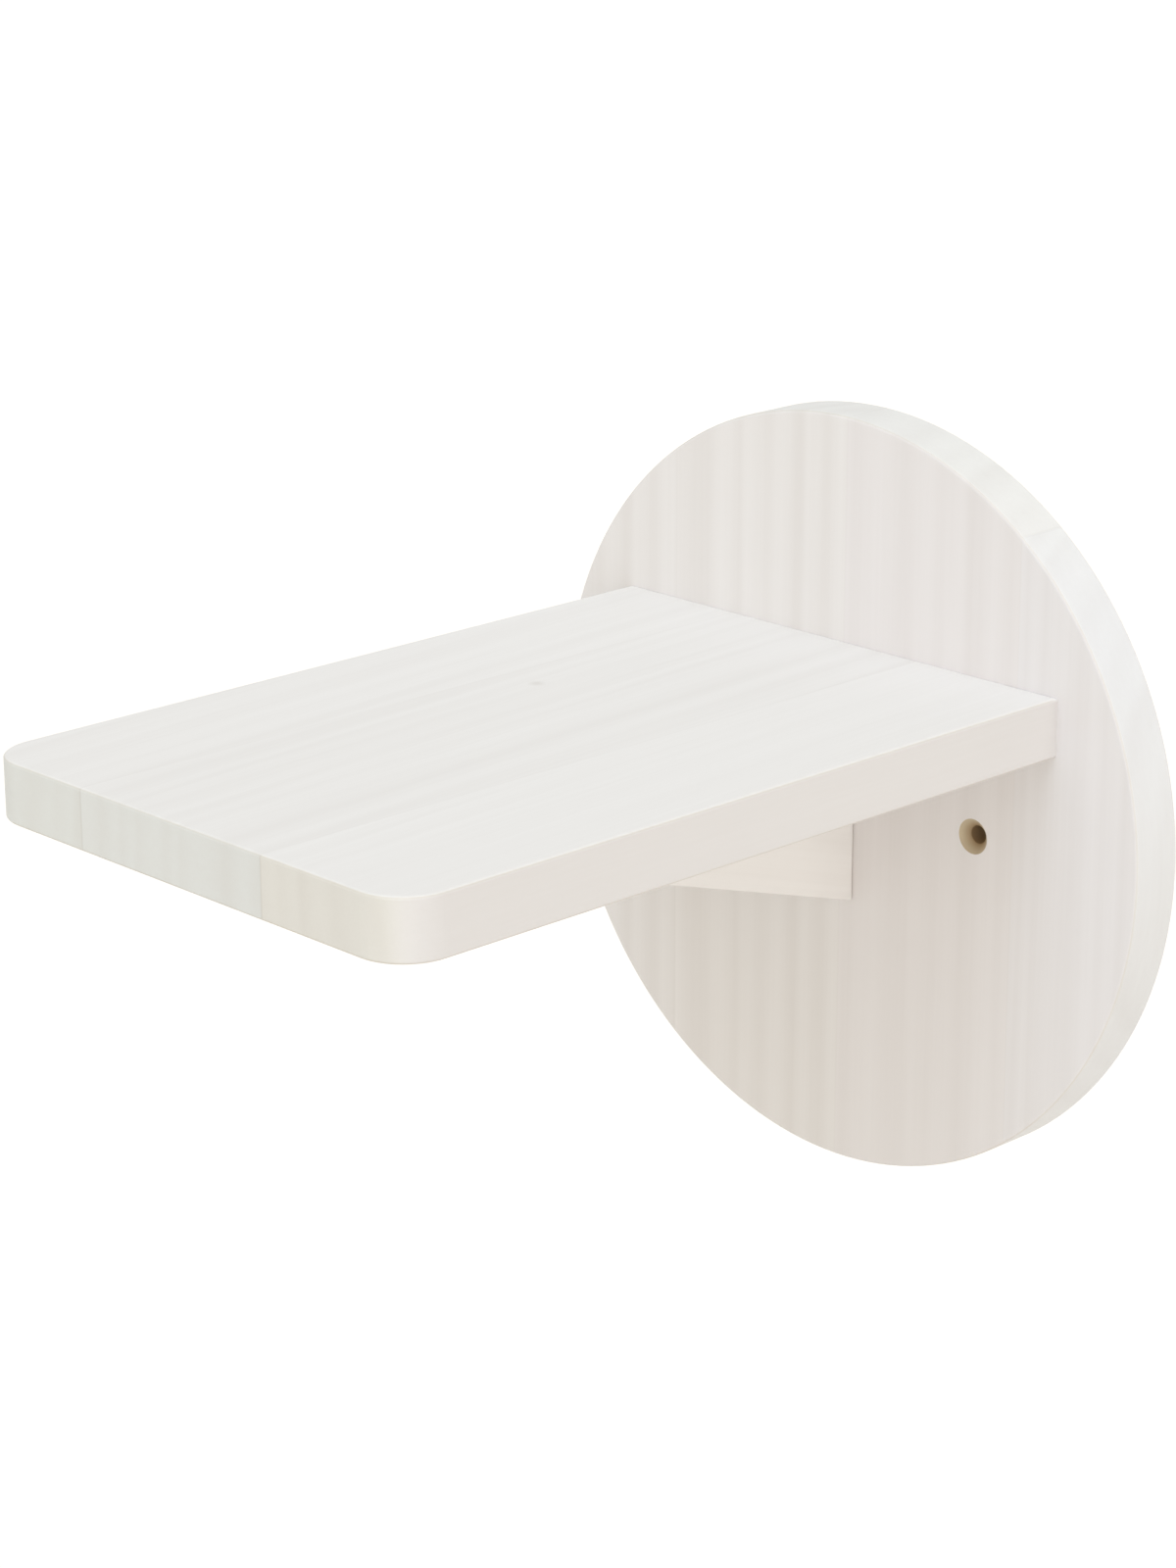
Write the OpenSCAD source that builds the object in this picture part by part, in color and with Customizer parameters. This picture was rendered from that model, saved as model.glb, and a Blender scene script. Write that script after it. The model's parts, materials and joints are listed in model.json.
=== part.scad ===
// Cat wall shelf: a step board that butts on a round wall plate, with a gusset brace under the step.
// The origin is the centre of the plate's back, the wall is the plane y = 0, the step reaches out
// along -y and z is up. Plate and step are boards glued up from staves, cut at their glue seams.

/* [Wall plate] */
// Diameter of the round plate
plate_d = 250; // [224:1:300]
// Thickness of the plate
plate_t = 19; // [16:0.5:25]
// Distance of the left glue seam from the plate's centre
plate_seam_left = 71; // [68:1:90]
// Place of the middle glue seam, to the right of the plate's centre
plate_seam_middle = 4; // [-15:1:15]
// Distance of the right glue seam from the plate's centre
plate_seam_right = 76; // [68:1:90]

/* [Wall screw holes] */
// Distance between the two holes, which lie on the plate's level diameter
wall_hole_spacing = 120; // [80:1:124]
// Diameter of the hole that a wall screw passes through
wall_hole_d = 6; // [4:0.5:8]
// Diameter of the countersink's mouth in the plate's front
wall_sink_d = 11.5; // [9:0.5:14]

/* [Step] */
// Width of the step, along the wall
shelf_w = 184; // [150:1:214]
// Reach of the step, from the plate's front
shelf_l = 265; // [210:1:320]
// Thickness of the step
shelf_t = 19; // [16:0.5:25]
// Height of the step's top above the plate's centre
shelf_rise = 52; // [36:1:75]
// Radius of the two front corners
shelf_corner_r = 16; // [4:0.5:30]
// Distance of the left glue seam from the step's middle line
shelf_seam_left = 44.5; // [35:0.5:55]
// Distance of the right glue seam from the step's middle line
shelf_seam_right = 35.5; // [28:0.5:55]

/* [Brace] */
// Thickness of the brace
brace_t = 20; // [14:0.5:28]
// Height of the brace along the plate
brace_h = 67; // [56:1:85]
// Length of the brace along the step's underside
brace_l = 182; // [145:1:200]
// Height of the blunt front end
brace_nose_h = 10.5; // [8:0.5:18]
// Radius of the front end's lower corner
brace_nose_r = 6; // [3:0.5:8]

/* [Edges] */
// Radius of the eased edges of every board
edge_r = 1; // [0.5:0.25:3]

/* [Screws] */
// Thread diameter of the countersunk wood screws
screw_d = 4; // [3:0.5:5]
// Length of a screw
screw_l = 45; // [35:1:55]
// Diameter of a screw's head
screw_head_d = 8; // [7:0.5:10]
// Depth of a head below the plate's back
screw_sink = 0.5; // [0.25:0.25:2]
// Length of a screw's point
screw_tip_l = 5; // [3:0.5:8]
// Length of the two slots of a head's cross recess
screw_slot_l = 3.8; // [3:0.1:4]
// Width of the slots
screw_slot_w = 0.9; // [0.6:0.1:1.2]
// Depth of the slots
screw_slot_depth = 1.5; // [1:0.1:1.8]
// Distance between the two screws in the step's back edge
shelf_screw_spacing = 128; // [110:1:140]
// Distance of the upper brace screw below the step
brace_screw_below = 16; // [10:1:20]
// Distance of the lower brace screw above the brace's lower end
brace_screw_above = 24; // [16:1:26]

/* [Dowels] */
// Diameter of the dowels
dowel_d = 8; // [6:1:10]
// Length of the dowels
dowel_l = 30; // [24:1:36]
// Depth of a dowel in the plate or in the step's underside
dowel_seat = 10; // [8:0.5:12]
// Chamfer of the dowels' ends
dowel_chamfer = 1; // [0.5:0.25:2]
// Distance between the two dowels in the step's back edge
shelf_dowel_spacing = 44; // [30:1:52]
// Distance of the brace's back dowel from the plate's front
brace_dowel_back = 45; // [40:1:60]
// Distance of the brace's front dowel from the plate's front
brace_dowel_front = 110; // [80:1:115]

/* [Clearances] */
// Gap all round a dowel, and between a screw and the wood that it is driven into
glue_gap = 0.05; // [0.02:0.01:0.15]
// Spare depth past the end of a dowel or a screw
end_gap = 0.5; // [0.25:0.25:1]
// Gap all round a screw's shank where it passes through the plate
shank_gap = 0.25; // [0.1:0.05:0.5]

/* [Hidden] */
$fn = 72;
// Sides of the polygon that rounds a rim of the plate: each rim is eased by a quarter of it, in flats
rim_sides = 12;
// Overrun of a cut past the face that it opens
over = 1;
plate_r = plate_d / 2;
screw_r = screw_d / 2;
screw_head_r = screw_head_d / 2;
// Depth of the plate's front face and height of the step's underside
plate_front = -plate_t;
shelf_under = shelf_rise - shelf_t;
// Heights of the fixings: the step's mid-thickness and the two brace screws
shelf_mid = shelf_rise - shelf_t / 2;
brace_screw_z = [shelf_under - brace_screw_below, shelf_under - brace_h + brace_screw_above];
shelf_screw_x = [-shelf_screw_spacing / 2, shelf_screw_spacing / 2];
shelf_dowel_x = [-shelf_dowel_spacing / 2, shelf_dowel_spacing / 2];
brace_dowel_y = [plate_front - brace_dowel_back, plate_front - brace_dowel_front];
wall_hole_x = [-wall_hole_spacing / 2, wall_hole_spacing / 2];
// Where the boards are cut into staves, from the left edge to the right one
plate_cuts = [-plate_r - over, -plate_seam_left, plate_seam_middle, plate_seam_right, plate_r + over];
shelf_cuts = [-shelf_w / 2 - over, -shelf_seam_left, shelf_seam_right, shelf_w / 2 + over];
// Rise of the brace's sloping edge, as an angle above the level
brace_slope = atan2(brace_h - brace_nose_h, brace_l);

// A rectangle from [0, 0] with round corners of radius r
module eased_rect(size, r) {
    translate([r, 0]) square([size.x - 2 * r, size.y]);
    translate([0, r]) square([size.x, size.y - 2 * r]);
    for (x = [r, size.x - r], y = [r, size.y - r]) translate([x, y]) circle(r);
}

// Half the section of a round board with eased rims, from its axis outwards
module eased_half_section(r, t) {
    square([r - edge_r, t]);
    translate([0, edge_r]) square([r, t - 2 * edge_r]);
    for (y = [edge_r, t - edge_r]) translate([r - edge_r, y]) circle(edge_r);
}

// Places what is drawn along z so that it starts at the wall and points out of it
module from_wall(x, z) {
    translate([x, 0, z]) rotate([90, 0, 0]) children();
}

// A clearance hole through the plate, countersunk at 90 degrees from the front
module wall_hole() {
    r = wall_hole_d / 2;
    sink_r = wall_sink_d / 2;
    rotate_extrude() polygon([
        [0, -over], [r, -over], [r, plate_t - (sink_r - r)], [sink_r + over, plate_t + over], [0, plate_t + over]
    ]);
}

// A countersunk wood screw with a cross recess, its head just below the wall face
module screw() {
    color("silver") difference() {
        rotate_extrude() polygon([
            [0, screw_sink], [screw_head_r, screw_sink],
            [screw_r, screw_sink + screw_head_r - screw_r],
            [screw_r, screw_l - screw_tip_l], [0, screw_l]
        ]);
        for (turn = [0, 90]) rotate(turn)
            translate([0, 0, screw_sink]) cube([screw_slot_l, screw_slot_w, 2 * screw_slot_depth], center = true);
    }
}

// The countersunk hole in the plate and the pilot hole behind it
module screw_hole() {
    seat_r = screw_head_r + glue_gap;
    pass_r = screw_r + shank_gap;
    pilot_r = screw_r + glue_gap;
    rotate_extrude() polygon([
        [0, -over], [seat_r, -over], [seat_r, screw_sink],
        [pass_r, screw_sink + seat_r - pass_r], [pass_r, plate_t],
        [pilot_r, plate_t], [pilot_r, screw_l + end_gap], [0, screw_l + end_gap]
    ]);
}

// A dowel with chamfered ends, along z
module dowel() {
    r = dowel_d / 2;
    color("burlywood") rotate_extrude() polygon([
        [0, 0], [r - dowel_chamfer, 0], [r, dowel_chamfer],
        [r, dowel_l - dowel_chamfer], [r - dowel_chamfer, dowel_l], [0, dowel_l]
    ]);
}

module dowel_hole() {
    translate([0, 0, -end_gap]) cylinder(h = dowel_l + 2 * end_gap, r = dowel_d / 2 + glue_gap);
}

// Places a dowel, or its hole, between the plate and the step
module at_shelf_dowel(x) {
    from_wall(x, shelf_mid) translate([0, 0, plate_t - dowel_seat]) children();
}

// Places a dowel, or its hole, between the brace and the step
module at_brace_dowel(y) {
    translate([0, y, shelf_under + dowel_seat - dowel_l]) children();
}

// Every hole that the screws through the plate need, in all the boards that they hold
module all_screw_holes() {
    for (x = shelf_screw_x) from_wall(x, shelf_mid) screw_hole();
    for (z = brace_screw_z) from_wall(0, z) screw_hole();
}

// The whole round plate, before its seams part it
module plate_board() {
    difference() {
        from_wall(0, 0) rotate_extrude() eased_half_section(plate_r, plate_t, $fn = rim_sides);
        for (x = wall_hole_x) from_wall(x, 0) wall_hole();
        for (x = shelf_dowel_x) at_shelf_dowel(x) dowel_hole();
        all_screw_holes();
    }
}

module plate_stave(i) {
    color("#e6e1dc") intersection() {
        plate_board();
        translate([plate_cuts[i], -plate_t - over, -plate_r - over])
            cube([plate_cuts[i + 1] - plate_cuts[i], plate_t + 2 * over, plate_d + 2 * over]);
    }
}

// The step as a board with eased edges and square corners, its back edge on y = 0
module shelf_blank() {
    intersection() {
        translate([-shelf_w / 2, 0, 0]) rotate([90, 0, 0]) linear_extrude(shelf_l)
            eased_rect([shelf_w, shelf_t], edge_r);
        translate([-shelf_w / 2, -shelf_l, 0]) rotate([90, 0, 90]) linear_extrude(shelf_w)
            eased_rect([shelf_l, shelf_t], edge_r);
    }
}

// The whole step, with its round front corners and the holes for its fixings
module shelf_board() {
    corner_x = shelf_w / 2 - shelf_corner_r;
    corner_y = shelf_corner_r - shelf_l;
    difference() {
        translate([0, plate_front, shelf_under]) {
            difference() {
                shelf_blank();
                for (side = [-1, 1]) translate([side * shelf_w / 2, -shelf_l, shelf_t / 2])
                    cube([2 * shelf_corner_r, 2 * shelf_corner_r, 2 * shelf_t], center = true);
            }
            for (side = [-1, 1]) translate([side * corner_x, corner_y, 0])
                rotate(side > 0 ? -90 : 180) rotate_extrude(angle = 90) eased_half_section(shelf_corner_r, shelf_t);
        }
        for (x = shelf_dowel_x) at_shelf_dowel(x) dowel_hole();
        for (y = brace_dowel_y) at_brace_dowel(y) dowel_hole();
        all_screw_holes();
    }
}

module shelf_stave(i) {
    color("#ebeae8") intersection() {
        shelf_board();
        translate([shelf_cuts[i], plate_front - shelf_l - over, shelf_under - over])
            cube([shelf_cuts[i + 1] - shelf_cuts[i], shelf_l + 2 * over, shelf_t + 2 * over]);
    }
}

// What a radius takes off one end of the brace's sloping edge: side 1 is the end on the plate
module brace_corner_waste(corner, r, side) {
    cut = r * tan(45 + side * brace_slope / 2);
    translate(corner + [-side * r, cut]) difference() {
        polygon(2 * [[0, 0], [side * r, 0], [side * r, -cut], -r * [sin(brace_slope), cos(brace_slope)]]);
        circle(r);
    }
}

// The brace's outline seen from the side: back edge on the plate, top edge under the step
module brace_outline() {
    tip = [0, -brace_h];
    nose = [-brace_l, -brace_nose_h];
    difference() {
        polygon([[0, 0], tip, nose, [-brace_l, 0]]);
        brace_corner_waste(tip, edge_r, 1);
        brace_corner_waste(nose, brace_nose_r, -1);
    }
}

module brace() {
    length = brace_l / cos(brace_slope);
    color("#e2dbd3") difference() {
        translate([0, plate_front, shelf_under]) intersection() {
            translate([-brace_t / 2, 0, 0]) rotate([90, 0, 90]) linear_extrude(brace_t) brace_outline();
            translate([-brace_t / 2, -brace_l, -brace_h]) linear_extrude(brace_h)
                eased_rect([brace_t, brace_l], edge_r);
            translate([-brace_t / 2, 0, -brace_h]) rotate([90 - brace_slope, 0, 0])
                translate([0, 0, -brace_h]) linear_extrude(length + 2 * brace_h)
                    eased_rect([brace_t, 2 * brace_h], edge_r);
        }
        for (y = brace_dowel_y) at_brace_dowel(y) dowel_hole();
        all_screw_holes();
    }
}

plate_stave(0);  // plate_stave_left_outer
plate_stave(1);  // plate_stave_left_inner
plate_stave(2);  // plate_stave_right_inner
plate_stave(3);  // plate_stave_right_outer
shelf_stave(0);  // shelf_stave_left
shelf_stave(1);  // shelf_stave_middle
shelf_stave(2);  // shelf_stave_right
brace();
from_wall(shelf_screw_x[0], shelf_mid) screw();  // shelf_screw_left
from_wall(shelf_screw_x[1], shelf_mid) screw();  // shelf_screw_right
from_wall(0, brace_screw_z[0]) screw();  // brace_screw_upper
from_wall(0, brace_screw_z[1]) screw();  // brace_screw_lower
at_shelf_dowel(shelf_dowel_x[0]) dowel();  // shelf_dowel_left
at_shelf_dowel(shelf_dowel_x[1]) dowel();  // shelf_dowel_right
at_brace_dowel(brace_dowel_y[0]) dowel();  // brace_dowel_back
at_brace_dowel(brace_dowel_y[1]) dowel();  // brace_dowel_front
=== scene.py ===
"""Looks of a cat wall shelf: whitewashed pine boards, zinc screws, beech dowels and a white studio."""
import json
import math
from collections import namedtuple

import bmesh
import bpy
from bpy.props import FloatProperty, FloatVectorProperty, IntProperty, PointerProperty
from mathutils import Matrix, Vector


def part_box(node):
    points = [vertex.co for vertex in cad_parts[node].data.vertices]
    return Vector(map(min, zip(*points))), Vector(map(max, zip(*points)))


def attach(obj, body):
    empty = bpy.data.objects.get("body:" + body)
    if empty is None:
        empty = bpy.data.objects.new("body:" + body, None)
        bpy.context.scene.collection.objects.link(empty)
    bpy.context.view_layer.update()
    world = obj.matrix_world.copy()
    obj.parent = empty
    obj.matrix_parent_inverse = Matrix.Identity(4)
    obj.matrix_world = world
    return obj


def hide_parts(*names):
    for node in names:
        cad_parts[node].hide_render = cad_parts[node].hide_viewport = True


bl_info = {
    "name": "Cat wall shelf",
    "version": (1, 0, 0),
    "blender": (4, 5, 0),
    "location": "View3D > Sidebar > Cat shelf",
    "description": "Finishes a whitewashed pine cat shelf and models its screws and dowels",
    "category": "Object",
}

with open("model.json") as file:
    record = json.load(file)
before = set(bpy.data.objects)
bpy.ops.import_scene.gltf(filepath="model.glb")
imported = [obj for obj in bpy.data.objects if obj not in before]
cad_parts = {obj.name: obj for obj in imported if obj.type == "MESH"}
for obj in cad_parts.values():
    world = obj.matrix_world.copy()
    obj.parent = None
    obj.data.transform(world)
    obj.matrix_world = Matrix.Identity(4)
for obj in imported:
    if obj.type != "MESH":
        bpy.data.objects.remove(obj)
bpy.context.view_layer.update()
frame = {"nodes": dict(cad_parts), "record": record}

MM = 0.001
BODY = "root"
# Sockets of the Mix node's colour mode.
MIX_A, MIX_B, MIX_RESULT = 6, 7, 2
WHITE = (1, 1, 1, 1)


def linear(hex_colour):
    """An sRGB hex colour as the linear red, green and blue that Blender's sockets take."""
    channels = [int(hex_colour[i:i + 2], 16) / 255 for i in (1, 3, 5)]
    return [c / 12.92 if c <= 0.04045 else ((c + 0.055) / 1.055) ** 2.4 for c in channels]


def opaque(colour):
    """A linear colour with the alpha that a colour socket needs."""
    return (*colour, 1)


def add(tree, kind, inputs, out=0, **settings):
    """Adds a node, sets it up, fills or links its sockets, and returns one of its outputs if it has any."""
    node = tree.nodes.new(kind)
    for name, value in settings.items():
        setattr(node, name, value)
    for socket, value in inputs.items():
        if isinstance(value, bpy.types.NodeSocket):
            tree.links.new(value, node.inputs[socket])
        else:
            node.inputs[socket].default_value = value
    return node.outputs[out] if node.outputs else None


def new_material(name):
    """An empty node material and its node tree."""
    material = bpy.data.materials.new(name)
    material.use_nodes = True
    material.node_tree.nodes.clear()
    return material, material.node_tree


class PineSettings(bpy.types.PropertyGroup):
    """Colours and grain sizes of the whitewashed pine boards"""

    wash: FloatVectorProperty(
        name="Whitewash", description="Pale early wood under the white stain", subtype="COLOR",
        default=linear("#efebea"), min=0, max=1)
    late: FloatVectorProperty(
        name="Late wood", description="Darker part of a growth ring, seen through the stain",
        subtype="COLOR", default=linear("#c9c0ba"), min=0, max=1)
    glue: FloatVectorProperty(
        name="Glue line", description="Seam between two staves", subtype="COLOR",
        default=linear("#a89c8c"), min=0, max=1)
    # Bare pine is the real colour of a hole's mouth; on eased edges it is also painted shade that dims
    # their highlights.
    bare: FloatVectorProperty(
        name="Bare pine", description="Unstained wood in the mouth of a hole and on worn edges",
        subtype="COLOR", default=linear("#c2b195"), min=0, max=1)
    # Painted shade: a darker brown inside a hole's bore.
    bore_shade: FloatVectorProperty(
        name="Drilled pine", description="Scorched wood inside a hole", subtype="COLOR",
        default=linear("#a68c6a"), min=0, max=1)
    # Painted light: a near-white colour that lightens the shaded groove of a joint.
    groove_light: FloatVectorProperty(
        name="Pooled stain", description="White stain that has filled the groove of a joint",
        subtype="COLOR", default=linear("#fbf9f7"), min=0, max=1)
    glue_width: FloatProperty(
        name="Glue line width", description="Half the width of the mark at a seam", subtype="DISTANCE",
        default=0.4 * MM)
    fibre_width: FloatProperty(
        name="Fibre width", description="Width of the fine fibre streaks", subtype="DISTANCE",
        default=0.9 * MM)
    fibre_length: FloatProperty(
        name="Fibre length", description="Length of the fine fibre streaks", subtype="DISTANCE",
        default=70 * MM)
    line_width: FloatProperty(
        name="Grain line width", description="Width of the grain lines", subtype="DISTANCE",
        default=2.6 * MM)
    line_length: FloatProperty(
        name="Grain line length", description="Length of the grain lines", subtype="DISTANCE",
        default=190 * MM)
    streak_width: FloatProperty(
        name="Stain streak width", description="Width of the paler and darker streaks of the stain",
        subtype="DISTANCE", default=11 * MM)
    streak_length: FloatProperty(
        name="Stain streak length", description="Length of the paler and darker streaks of the stain",
        subtype="DISTANCE", default=160 * MM)
    hole_mouth: FloatProperty(
        name="Countersink", description="Diameter of a wall hole's countersunk mouth", subtype="DISTANCE",
        default=11.5 * MM)
    hole: FloatProperty(
        name="Hole", description="Diameter of a wall hole", subtype="DISTANCE", default=6 * MM)
    brace_slope: FloatProperty(
        name="Brace slope", description="Rise of the brace's lower edge, which its grain follows",
        subtype="ANGLE", default=math.radians(17.25))


class FixingSettings(bpy.types.PropertyGroup):
    """Sizes and colours of the screws and dowels"""

    head_land: FloatProperty(
        name="Head edge", description="Height of the thin straight edge of a screw's head",
        subtype="DISTANCE", default=0.15 * MM)
    shank_d: FloatProperty(
        name="Shank", description="Diameter of a screw between head and thread", subtype="DISTANCE",
        default=2.9 * MM)
    core_d: FloatProperty(
        name="Core", description="Diameter of a screw under its thread", subtype="DISTANCE",
        default=2.5 * MM)
    thread_d: FloatProperty(
        name="Thread", description="Outer diameter of the screw thread", subtype="DISTANCE",
        default=3.9 * MM)
    thread_w: FloatProperty(
        name="Thread foot", description="Width of the thread where it leaves the core", subtype="DISTANCE",
        default=0.9 * MM)
    thread_pitch: FloatProperty(
        name="Pitch", description="Advance of the thread in one turn", subtype="DISTANCE", default=1.8 * MM)
    thread_turns: IntProperty(
        name="Turns", description="Turns of the thread, back from the point", default=13, min=1, max=40)
    tip_l: FloatProperty(
        name="Point", description="Length of the screw's point", subtype="DISTANCE", default=5 * MM)
    recess_l: FloatProperty(
        name="Recess length", description="Length of the cross recess's slots", subtype="DISTANCE",
        default=4.2 * MM)
    recess_w: FloatProperty(
        name="Recess width", description="Width of the cross recess's slots", subtype="DISTANCE",
        default=0.95 * MM)
    recess_depth: FloatProperty(
        name="Recess depth", description="Depth of the cross recess", subtype="DISTANCE", default=1.8 * MM)
    zinc: FloatVectorProperty(
        name="Zinc", description="Bright zinc plating", subtype="COLOR",
        default=linear("#c3c6c9"), min=0, max=1)
    zinc_dull: FloatVectorProperty(
        name="Dull zinc", description="Zinc that has lost its shine", subtype="COLOR",
        default=linear("#a9a8a2"), min=0, max=1)
    flutes: IntProperty(
        name="Flutes", description="Grooves around a dowel", default=24, min=8, max=60)
    flute_depth: FloatProperty(
        name="Flute depth", description="Depth of a dowel's grooves", subtype="DISTANCE", default=0.35 * MM)
    chamfer: FloatProperty(
        name="Chamfer", description="Chamfer of a dowel's ends", subtype="DISTANCE", default=1 * MM)
    beech: FloatVectorProperty(
        name="Beech", description="Plain beech", subtype="COLOR",
        default=linear("#cda878"), min=0, max=1)
    beech_fleck: FloatVectorProperty(
        name="Beech fleck", description="Short dark flecks along beech grain", subtype="COLOR",
        default=linear("#a97c4e"), min=0, max=1)


class StageSettings(bpy.types.PropertyGroup):
    """Camera, light and floor"""

    azimuth: FloatProperty(
        name="Azimuth", description="Turn of the camera to the right of the shelf's front", subtype="ANGLE",
        default=math.radians(46.2))
    elevation: FloatProperty(
        name="Elevation", description="Camera angle above the level", subtype="ANGLE",
        default=math.radians(18.05))
    roll: FloatProperty(
        name="Roll", description="Turn of the camera about its own line of sight", subtype="ANGLE",
        default=math.radians(-0.163))
    target: FloatVectorProperty(
        name="Target", description="Point in the middle of the picture", subtype="TRANSLATION",
        default=(0, -128.05 * MM, 28.14 * MM))
    distance: FloatProperty(
        name="Distance", description="From the camera to its target", subtype="DISTANCE",
        default=1179.15 * MM)
    lens: FloatProperty(
        name="Lens", description="Focal length of the camera", subtype="DISTANCE_CAMERA", default=89.51)
    sensor: FloatProperty(
        name="Sensor", description="Long side of the camera's sensor", subtype="DISTANCE_CAMERA",
        default=36)
    floor_drop: FloatProperty(
        name="Floor", description="Depth of the floor below the wall plate's centre", subtype="DISTANCE",
        default=0.7)
    floor_size: FloatProperty(
        name="Floor size", description="Width of the floor, which runs past the picture on all sides",
        subtype="DISTANCE", default=60)
    floor_colour: FloatVectorProperty(
        name="Floor colour", description="White studio paper", subtype="COLOR",
        default=linear("#ebe6df"), min=0, max=1)
    floor_lift: FloatProperty(
        name="Floor lift", description="What brings the seen floor up to white", default=0.26)
    ceiling: FloatProperty(
        name="Ceiling light", description="Light of the ceiling's diffuser on a surface that faces it",
        default=0.75)
    ceiling_colour: FloatVectorProperty(
        name="Ceiling colour", description="Cool daylight", subtype="COLOR",
        default=linear("#cbe3ff"), min=0, max=1)
    window: FloatProperty(
        name="Window light", description="Light of the high window in front on a surface that faces it",
        default=0.52)
    window_colour: FloatVectorProperty(
        name="Window colour", description="Cool daylight", subtype="COLOR",
        default=linear("#cbe3ff"), min=0, max=1)
    side: FloatProperty(
        name="Side light", description="Light of the softbox on the right on a surface that faces it",
        default=0.93)
    side_colour: FloatVectorProperty(
        name="Side colour", description="White softbox", subtype="COLOR",
        default=linear("#fdfffd"), min=0, max=1)
    front: FloatProperty(
        name="Front light", description="Light of the reflector in front on a surface that faces it",
        default=0.52)
    front_colour: FloatVectorProperty(
        name="Front colour", description="Warm white reflector", subtype="COLOR",
        default=linear("#fffdec"), min=0, max=1)
    room: FloatProperty(
        name="Room light", description="Even light from all around", default=0.68)
    room_colour: FloatVectorProperty(
        name="Room colour", description="Warm white walls", subtype="COLOR",
        default=linear("#fffaf0"), min=0, max=1)


# A stave's place in the log it was sawn from, and how it took the stain. heart is where the log's middle
# lay along x and along a second axis, y in the plate and z elsewhere, in mm. lean turns the grain about
# those two axes, in degrees. ring is the width of a growth ring in mm, figure is how strongly rings and
# streaks show, tint is the stain's own cast, end is the colour of sawn ends, edge is a darker colour on
# the faces that look along x, painted shade that dims the sides which the side lamp lights, and knots are
# the places of pin knots along x and y, in mm.
Stave = namedtuple("Stave", "node heart lean ring figure tint end edge knots",
                   defaults=("#ffffff", "#ebe9e3", None, ()))

# The edge colours below are painted shade on the faces that look along x.
PLATE_STAVES = (
    Stave("plate_stave_left_outer", heart=(-236, 60), lean=(0.1, 0.2), ring=13, figure=0.9, tint="#fdfdfc",
          edge="#e9e8e6"),
    Stave("plate_stave_left_inner", heart=(-158, 60), lean=(0.1, 0), ring=13, figure=0.95, tint="#fefefd"),
    Stave("plate_stave_right_inner", heart=(323, 60), lean=(0.1, 0), ring=15, figure=0.55, tint="#fcfbfb"),
    Stave("plate_stave_right_outer", heart=(287, 60), lean=(0.1, 0), ring=10, figure=0.55, tint="#fcfcfd",
          edge="#e7e6e6"),
)
STEP_STAVES = (
    Stave("shelf_stave_left", heart=(178, 20), lean=(0.2, 3.5), ring=13, figure=0.35, tint="#fefefa",
          end="#dddeda", edge="#dfdad8"),
    Stave("shelf_stave_middle", heart=(480, 25), lean=(-0.2, 3.2), ring=13, figure=0.5, tint="#fefefa",
          end="#dedfdc", knots=((-30, -121),)),
    Stave("shelf_stave_right", heart=(240, 60), lean=(0.3, 3.0), ring=12, figure=0.12, tint="#fefefa",
          end="#e0dcd4", edge="#dfdad8"),
)
BRACE = Stave("brace", heart=(70, 160), lean=(0, 0), ring=9, figure=0.4, tint="#fffffd")

# How the growth rings wander: slowly along the grain and across it, by a small depth.
WANDER_ACROSS = 35 * MM
WANDER_ALONG = 240 * MM
WANDER_DEPTH = 3 * MM
# How uneven the years are: over about how many of them the ring width changes, and by how many it strays.
UNEVEN_SPAN = 3.0
UNEVEN_DEPTH = 2.0
# A ring darkens softly from early to late wood and ends less softly. The poorest year shows this share.
LATE_BEGINS, LATE_FULL, RING_ENDS = 0.05, 0.70, 0.60
POOR_YEAR = 0.4
# How many finer layers the noise has in wandering rings, uneven years, grain lines, fibres and streaks.
WANDER_DETAIL, UNEVEN_DETAIL = 2, 1
LINE_DETAIL, FIBRE_DETAIL, STREAK_DETAIL = 2, 3, 2
# Shares of the late wood's colour that rings, grain lines, fibres and stain streaks bring to a face, and
# that rings bring to a sawn end.
RING_SHARE, LINE_SHARE, FIBRE_SHARE, STREAK_SHARE = 0.24, 0.09, 0.09, 0.18
RING_ON_END = 0.17
# Shares of the colours of sawn ends, of the painted shade on long edges and of knots, and of the glue
# line's on faces, sawn ends and the plate's rim.
END_SHARE, SIDE_SHADE_SHARE, KNOT_SHARE = 0.85, 0.95, 0.22
GLUE_ON_FACE, GLUE_ON_END, GLUE_ON_RIM = 0.03, 0.15, 0.06
# Cosines to the grain from which a surface begins to look like end grain, and does so in full. Long edges
# use them too, as cosines to the board's width.
END_BEGINS, END_FULL = 0.45, 0.95
# Between which cosines a surface leaves the board's face for the inside of a hole.
CONE_BEGINS, CONE_FULL = 0.80, 0.95
# Cosines to the board's face at which an eased edge leaves a side, is halfway round and meets the face, and
# the share of bare wood that shows there, partly where sanding has thinned the stain and partly as painted
# shade that dims the edges' highlights.
EDGE_TURNS, EDGE_HALFWAY, EDGE_LEAVES = 0.15, 0.60, 0.998
WORN_AND_SHADE_SHARE = 0.28
# How far from the joint with the plate the groove is painted lighter, in full and at all, between which
# cosines to the grain a surface turns into the joint's groove, and the share there of the near-white
# colour, painted light against the groove's shade.
GROOVE_LIGHT_FULL, GROOVE_LIGHT_ENDS = 1.5 * MM, 3 * MM
GROOVE_BEGINS, GROOVE_FULL = 0.1, 0.5
GROOVE_LIGHT_SHARE = 0.9
KNOT_RADIUS = 3.5 * MM
# Planed and stained wood: the height of its raised grain, how much of that shows, and its range of gloss.
RELIEF = 0.04 * MM
RELIEF_STRENGTH = 0.6
GLOSSIEST, DULLEST = 0.50, 0.66
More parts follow.
